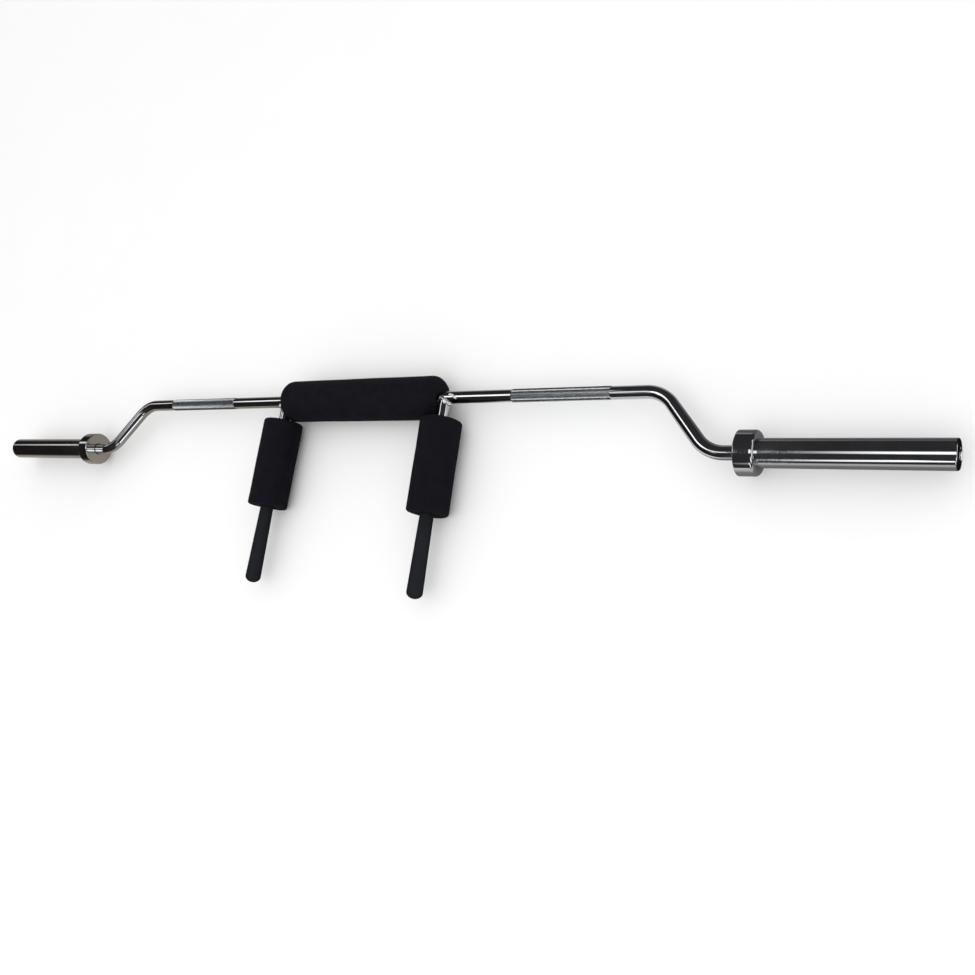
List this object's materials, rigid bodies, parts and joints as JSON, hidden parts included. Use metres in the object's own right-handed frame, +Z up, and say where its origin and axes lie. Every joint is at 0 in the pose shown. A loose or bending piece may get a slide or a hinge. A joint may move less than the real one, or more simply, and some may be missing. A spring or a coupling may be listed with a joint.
{
  "type": "safety squat bar",
  "caption": "Cambered barbell for squats: foam neck roller, padded arms with rubber grips, and rotating chrome sleeves behind thick shoulder collars.",
  "frame": {"origin": "centre of the footprint of the bar lying on the floor, on the floor", "axes": "+X along the bar to the picture's right-hand sleeve, -Y along the arms to their tips, +Z up"},
  "size_m": [2.36, 0.4568, 0.0903],
  "materials": {
    "chrome": "polished",
    "welded_chrome": "plated weld bead",
    "foam": "matte closed-cell foam",
    "grip_rubber": "satin",
    "bronze": "turned",
    "steel": "oiled spring steel"
  },
  "bodies": {
    "bar": {"shaft": "chrome", "neck_pad": "foam", "left_arm_tube": "chrome", "right_arm_tube": "chrome", "left_arm_weld": "welded_chrome", "right_arm_weld": "welded_chrome", "left_arm_pad": "foam", "right_arm_pad": "foam", "left_grip": "grip_rubber", "right_grip": "grip_rubber", "left_thrust_washer": "steel", "right_thrust_washer": "steel", "left_end_washer": "steel", "right_end_washer": "steel", "left_snap_ring": "steel", "right_snap_ring": "steel"},
    "left_spinning_sleeve": {"left_sleeve": "chrome", "left_collar": "chrome", "left_inner_bushing": "bronze", "left_outer_bushing": "bronze", "left_end_cap": "chrome"},
    "right_spinning_sleeve": {"right_sleeve": "chrome", "right_collar": "chrome", "right_inner_bushing": "bronze", "right_outer_bushing": "bronze", "right_end_cap": "chrome"}
  },
  "joints": [
    {"name": "left_sleeve_spin", "type": "hinge", "parent": "bar", "child": "left_spinning_sleeve", "pos_m": [-1, 0.06915, 0.05087], "axis": [-1, 0, 0], "continuous": true},
    {"name": "right_sleeve_spin", "type": "hinge", "parent": "bar", "child": "right_spinning_sleeve", "pos_m": [1, 0.06915, 0.05087], "axis": [1, 0, 0], "continuous": true}
  ]
}
